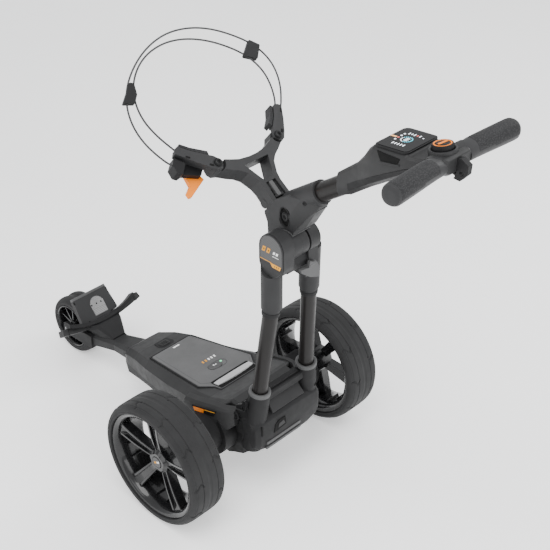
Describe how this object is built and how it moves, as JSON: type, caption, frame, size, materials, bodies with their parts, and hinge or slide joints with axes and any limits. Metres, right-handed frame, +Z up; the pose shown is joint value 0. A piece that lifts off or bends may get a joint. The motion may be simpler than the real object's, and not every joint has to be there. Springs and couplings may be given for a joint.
{
  "type": "electric golf trolley",
  "caption": "Electric golf trolley with deep-dish rear wheels, folding frame, bag cradle with elastic strap, drop-in battery and T-handle with a screen and dial.",
  "frame": {"origin": "On the ground, in the middle of the footprint", "axes": "+Z up, front wheel toward -Y, the trolley's left side toward +X"},
  "size_m": [0.6, 1.2565, 1.0056],
  "materials": {
    "tyre_rubber": "matte solid rubber tread, dark grey",
    "gloss_black": "gloss black",
    "charcoal_plastic": "fine-textured moulded plastic, charcoal",
    "dark_plastic": "matte moulded plastic, near black",
    "satin_grey_plastic": "satin moulded plastic, mid grey",
    "frame_tube_paint": "satin brown-black powder coat",
    "steel": "plain machined steel",
    "silver_trim": "satin silver",
    "display_black": "gloss black glass over a dark screen",
    "soft_rubber": "soft-touch rubber with a fine pattern",
    "accent_orange": "satin orange accent",
    "control_black": "matte black control plastic",
    "elastic_cord": "braided elastic cord, black"
  },
  "bodies": {
    "chassis": {"chassis_shell": "charcoal_plastic", "chassis_base": "dark_plastic", "battery_tray": "dark_plastic", "axle_housing": "dark_plastic", "gear_motor": "steel", "axle_bearings": "steel", "neck_beam": "charcoal_plastic", "front_fork": "dark_plastic", "front_axle": "steel", "bag_base_plate": "satin_grey_plastic", "lower_cradle": "dark_plastic", "cradle_tips": "dark_plastic", "frame_pivot_screws": "steel"},
    "rear_axle": {"drive_axle": "steel"},
    "left_wheel": {"rear_tyre_left": "tyre_rubber", "rear_rim_left": "gloss_black"},
    "right_wheel": {"rear_tyre_right": "tyre_rubber", "rear_rim_right": "gloss_black"},
    "left_wheel_button": {"wheel_release_left": "gloss_black"},
    "right_wheel_button": {"wheel_release_right": "gloss_black"},
    "front_wheel": {"front_tyre": "tyre_rubber", "front_rim": "gloss_black"},
    "battery": {"battery_case": "dark_plastic", "battery_lid": "satin_grey_plastic", "battery_handle": "silver_trim"},
    "battery_button": {"power_button": "display_black"},
    "lower_frame": {"socket_casting": "satin_grey_plastic", "rear_panel": "charcoal_plastic", "frame_tube_left": "frame_tube_paint", "frame_tube_right": "frame_tube_paint", "hinge_head_left": "satin_grey_plastic", "hinge_head_right": "satin_grey_plastic", "hinge_caps": "gloss_black", "hinge_pin": "steel"},
    "frame_catch": {"frame_catch_lever": "control_black"},
    "fold_latch": {"fold_lever": "satin_grey_plastic"},
    "upper_frame": {"upper_casting": "satin_grey_plastic", "clamp_screws": "steel", "handle_tube": "frame_tube_paint", "handle_cover": "charcoal_plastic", "handle_base": "dark_plastic", "display_glass": "display_black", "handle_bar": "frame_tube_paint", "grip_left": "soft_rubber", "grip_right": "soft_rubber", "accessory_hook": "dark_plastic"},
    "dial": {"speed_dial": "control_black"},
    "dial_press": {"dial_button": "accent_orange"},
    "bag_support": {"bag_fork": "satin_grey_plastic", "pad_screws": "steel", "strap_outer": "elastic_cord", "strap_inner": "elastic_cord", "strap_slider": "dark_plastic", "strap_hook": "dark_plastic"},
    "left_pad": {"pad_shell_left": "satin_grey_plastic", "pad_rubber_left": "soft_rubber", "strap_ratchet": "control_black"},
    "right_pad": {"pad_shell_right": "satin_grey_plastic", "pad_rubber_right": "soft_rubber"},
    "ratchet_lever": {"strap_lever": "accent_orange"}
  },
  "joints": [
    {"name": "axle_turn", "type": "hinge", "parent": "chassis", "child": "rear_axle", "pos_m": [0, 0.078, 0.15], "axis": [1, 0, 0], "continuous": true},
    {"name": "left_wheel_turn", "type": "hinge", "parent": "rear_axle", "child": "left_wheel", "pos_m": [0.253, 0.078, 0.15], "axis": [1, 0, 0], "continuous": true},
    {"name": "right_wheel_turn", "type": "hinge", "parent": "rear_axle", "child": "right_wheel", "pos_m": [-0.253, 0.078, 0.15], "axis": [1, 0, 0], "continuous": true},
    {"name": "left_release", "type": "slide", "parent": "left_wheel", "child": "left_wheel_button", "axis": [-1, 0, 0], "range_m": [0, 0.003], "stiffness_N_per_m": 600, "springref_m": -0.001},
    {"name": "right_release", "type": "slide", "parent": "right_wheel", "child": "right_wheel_button", "axis": [1, 0, 0], "range_m": [0, 0.003], "stiffness_N_per_m": 600, "springref_m": -0.001},
    {"name": "front_wheel_turn", "type": "hinge", "parent": "chassis", "child": "front_wheel", "pos_m": [0, -0.55, 0.0785], "axis": [1, 0, 0], "continuous": true},
    {"name": "battery_lift", "type": "slide", "parent": "chassis", "child": "battery", "axis": [0, -0.1547, 0.988], "range_m": [0, 0.1]},
    {"name": "power_press", "type": "slide", "parent": "battery", "child": "battery_button", "axis": [0, 0.1547, -0.988], "range_m": [0, 0.0011], "stiffness_N_per_m": 800, "springref_m": -0.001},
    {"name": "frame_fold", "type": "hinge", "parent": "chassis", "child": "lower_frame", "pos_m": [0, 0.152, 0.222], "axis": [1, 0, 0], "range_deg": [0, 60]},
    {"name": "frame_catch_swing", "type": "hinge", "parent": "lower_frame", "child": "frame_catch", "pos_m": [0.106, 0.18, 0.262], "axis": [1, 0, 0], "range_deg": [0, 20], "stiffness_Nm_per_rad": 0.6, "springref_deg": -5.73},
    {"name": "latch_pull", "type": "hinge", "parent": "lower_frame", "child": "fold_latch", "pos_m": [-0.017, 0.2605, 0.615], "axis": [1, 0, 0], "range_deg": [0, 20], "stiffness_Nm_per_rad": 0.6, "springref_deg": -5.73},
    {"name": "handle_fold", "type": "hinge", "parent": "lower_frame", "child": "upper_frame", "pos_m": [0, 0.2285, 0.663], "axis": [-1, 0, 0], "range_deg": [0, 100]},
    {"name": "dial_turn", "type": "hinge", "parent": "upper_frame", "child": "dial", "pos_m": [0, 0.569, 0.992], "axis": [0, -0.1736, 0.9848], "continuous": true},
    {"name": "dial_press_in", "type": "slide", "parent": "dial", "child": "dial_press", "axis": [0, 0.1736, -0.9848], "range_m": [0, 0.0015], "stiffness_N_per_m": 600, "springref_m": -0.001},
    {"name": "bag_support_fold", "type": "hinge", "parent": "upper_frame", "child": "bag_support", "pos_m": [0, 0.1646, 0.7325], "axis": [1, 0, 0], "range_deg": [0, 45]},
    {"name": "left_pad_swing", "type": "hinge", "parent": "bag_support", "child": "left_pad", "pos_m": [0.085, 0.098, 0.825], "axis": [0, 0.6293, 0.7771], "range_deg": [-8, 12], "deforming": ["strap_outer"]},
    {"name": "right_pad_swing", "type": "hinge", "parent": "bag_support", "child": "right_pad", "pos_m": [-0.085, 0.098, 0.825], "axis": [0, 0.6293, 0.7771], "range_deg": [-12, 8], "deforming": ["strap_inner"]},
    {"name": "ratchet_turn", "type": "hinge", "parent": "left_pad", "child": "ratchet_lever", "pos_m": [0.14, 0.0536, 0.8178], "axis": [0, -0.6293, -0.7771], "range_deg": [0, 60]}
  ]
}
